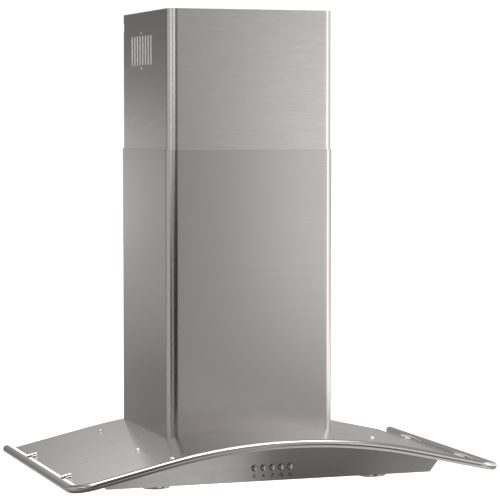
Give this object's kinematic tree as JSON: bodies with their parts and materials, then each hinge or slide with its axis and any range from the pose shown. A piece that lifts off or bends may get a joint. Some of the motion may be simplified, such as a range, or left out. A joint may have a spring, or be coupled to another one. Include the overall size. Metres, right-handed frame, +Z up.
{
  "type": "wall-mount chimney range hood",
  "caption": "Wall-mounted range hood with an arched brushed steel canopy, a polished tube rail, push buttons, filters below and a telescoping flue over the blower.",
  "frame": {"origin": "on the wall plane, on the centreline, at the bottom edge of the hood body", "axes": "+X to the right as seen by the cook, +Y into the wall, +Z up"},
  "size_m": [0.9, 0.596, 0.956],
  "materials": {
    "brushed_sheet": "horizontally brushed stainless sheet, satin",
    "polished_tube": "polished stainless tube",
    "galvanised": "galvanised sheet, spangled grey",
    "zinc_fastener": "bright zinc plated steel",
    "filter_aluminium": "drawn aluminium frame",
    "mesh_aluminium": "expanded aluminium mesh layers",
    "black_plastic": "moulded black plastic, fine texture",
    "white_plastic": "moulded off-white plastic",
    "grey_plastic": "moulded dark grey plastic",
    "button_metal": "metallised button caps",
    "lamp_chrome": "chromed lamp ring",
    "lamp_glass": "lightly frosted lamp glass",
    "lamp_reflector": "vapour-coated reflector",
    "lamp_bulb": "capsule lamp",
    "motor_paint": "stoved grey enamel",
    "wheel_plastic": "moulded fan wheel",
    "ground_shaft": "ground steel shaft",
    "capacitor_case": "smooth plastic can",
    "terminal_plastic": "moulded terminal body"
  },
  "bodies": {
    "hood": {"canopy_skin": "brushed_sheet", "front_panel": "brushed_sheet", "left_side_panel": "brushed_sheet", "right_side_panel": "brushed_sheet", "back_panel": "galvanised", "bottom_panel": "brushed_sheet", "back_stiffener": "galvanised", "nut_plates": "galvanised", "hand_rail": "polished_tube", "rail_posts": "polished_tube", "rail_screws": "zinc_fastener", "front_rail_brackets": "galvanised", "canopy_screws": "zinc_fastener", "lamp_housings": "grey_plastic", "lamp_bezels": "lamp_chrome", "lamp_lenses": "lamp_glass", "lamp_reflectors": "lamp_reflector", "lamp_bulbs": "lamp_bulb", "button_guide": "black_plastic", "switch_block": "white_plastic", "switch_bracket": "galvanised", "blower_box": "galvanised", "blower_screws": "zinc_fastener", "scroll_wall": "galvanised", "scroll_left_plate": "galvanised", "scroll_right_plate": "galvanised", "inlet_rings": "galvanised", "motor": "motor_paint", "motor_bracket": "galvanised", "bearing_bracket": "galvanised", "capacitor": "capacitor_case", "capacitor_clip": "galvanised", "duct_collar": "grey_plastic", "damper_pin": "ground_shaft", "junction_box": "white_plastic", "junction_lid": "white_plastic", "cable_gland": "black_plastic", "terminal_block": "terminal_plastic", "lower_flue": "brushed_sheet", "flue_feet": "galvanised", "foot_screws": "zinc_fastener"},
    "upper_chimney": {"upper_flue": "brushed_sheet", "flue_wall_bracket": "galvanised", "vent_frames": "white_plastic", "vent_screws": "zinc_fastener"},
    "rotor": {"fan_wheel": "wheel_plastic", "fan_shaft": "ground_shaft"},
    "left_filter": {"left_filter_frame": "filter_aluminium", "left_filter_mesh": "mesh_aluminium"},
    "left_latch": {"left_filter_latch": "black_plastic"},
    "right_filter": {"right_filter_frame": "filter_aluminium", "right_filter_mesh": "mesh_aluminium"},
    "right_latch": {"right_filter_latch": "black_plastic"},
    "left_flap": {"left_damper_flap": "grey_plastic"},
    "right_flap": {"right_damper_flap": "grey_plastic"},
    "power_key": {"power_button": "button_metal"},
    "speed_one_key": {"speed_one_button": "button_metal"},
    "speed_two_key": {"speed_two_button": "button_metal"},
    "speed_three_key": {"speed_three_button": "button_metal"},
    "light_key": {"light_button": "button_metal"}
  },
  "joints": [
    {"name": "flue_telescope", "type": "slide", "parent": "hood", "child": "upper_chimney", "axis": [0, 0, 1], "range_m": [-0.16, 0.1]},
    {"name": "fan_spin", "type": "hinge", "parent": "hood", "child": "rotor", "pos_m": [0, -0.135, 0.205], "axis": [1, 0, 0], "continuous": true},
    {"name": "left_filter_hinge", "type": "hinge", "parent": "hood", "child": "left_filter", "pos_m": [-0.168, -0.0315, 0.0004], "axis": [1, 0, 0], "range_deg": [0, 75]},
    {"name": "left_latch_slide", "type": "slide", "parent": "left_filter", "child": "left_latch", "axis": [0, 1, 0], "range_m": [0, 0.006], "stiffness_N_per_m": 300, "springref_m": -0.004},
    {"name": "right_filter_hinge", "type": "hinge", "parent": "hood", "child": "right_filter", "pos_m": [0.168, -0.0315, 0.0004], "axis": [1, 0, 0], "range_deg": [0, 75]},
    {"name": "right_latch_slide", "type": "slide", "parent": "right_filter", "child": "right_latch", "axis": [0, 1, 0], "range_m": [0, 0.006], "stiffness_N_per_m": 300, "springref_m": -0.004},
    {"name": "left_flap_hinge", "type": "hinge", "parent": "hood", "child": "left_flap", "pos_m": [0, -0.186, 0.364], "axis": [0, 1, 0], "range_deg": [0, 78]},
    {"name": "right_flap_hinge", "type": "hinge", "parent": "hood", "child": "right_flap", "pos_m": [0, -0.186, 0.364], "axis": [0, -1, 0], "range_deg": [0, 78]},
    {"name": "power_press", "type": "slide", "parent": "hood", "child": "power_key", "axis": [0, 1, 0], "range_m": [0, 0.003], "stiffness_N_per_m": 500, "springref_m": -0.002},
    {"name": "speed_one_press", "type": "slide", "parent": "hood", "child": "speed_one_key", "axis": [0, 1, 0], "range_m": [0, 0.003], "stiffness_N_per_m": 500, "springref_m": -0.002},
    {"name": "speed_two_press", "type": "slide", "parent": "hood", "child": "speed_two_key", "axis": [0, 1, 0], "range_m": [0, 0.003], "stiffness_N_per_m": 500, "springref_m": -0.002},
    {"name": "speed_three_press", "type": "slide", "parent": "hood", "child": "speed_three_key", "axis": [0, 1, 0], "range_m": [0, 0.003], "stiffness_N_per_m": 500, "springref_m": -0.002},
    {"name": "light_press", "type": "slide", "parent": "hood", "child": "light_key", "axis": [0, 1, 0], "range_m": [0, 0.003], "stiffness_N_per_m": 500, "springref_m": -0.002}
  ]
}
